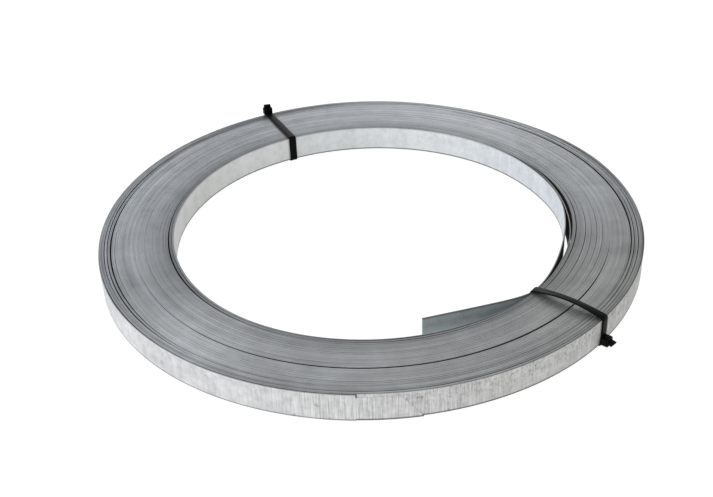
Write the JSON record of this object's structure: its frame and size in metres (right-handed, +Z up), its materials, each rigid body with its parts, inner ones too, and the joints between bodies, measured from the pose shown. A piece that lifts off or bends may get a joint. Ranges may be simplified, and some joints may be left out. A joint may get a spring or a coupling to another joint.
{
  "type": "steel strip coil",
  "caption": "Flat coil of narrow galvanised steel strip with an open bore, a loose inner end and cut outer ends, bound by black cable ties, lying flat as stock.",
  "frame": {"origin": "on the coil's axis at floor level, under the ties' lower straps", "axes": "+Z up along the coil's axis, -Y towards the viewer of the picture, +X to the viewer's right"},
  "size_m": [0.5018, 0.5014, 0.0374],
  "materials": {
    "galvanised_strip": "dull zinc with fine streaks across the strip, grey slit edges",
    "black_nylon": "black moulded nylon with a slight sheen"
  },
  "bodies": {
    "root": {"coil": "galvanised_strip", "cable_tie_front": "black_nylon", "cable_tie_rear": "black_nylon"}
  },
  "joints": []
}
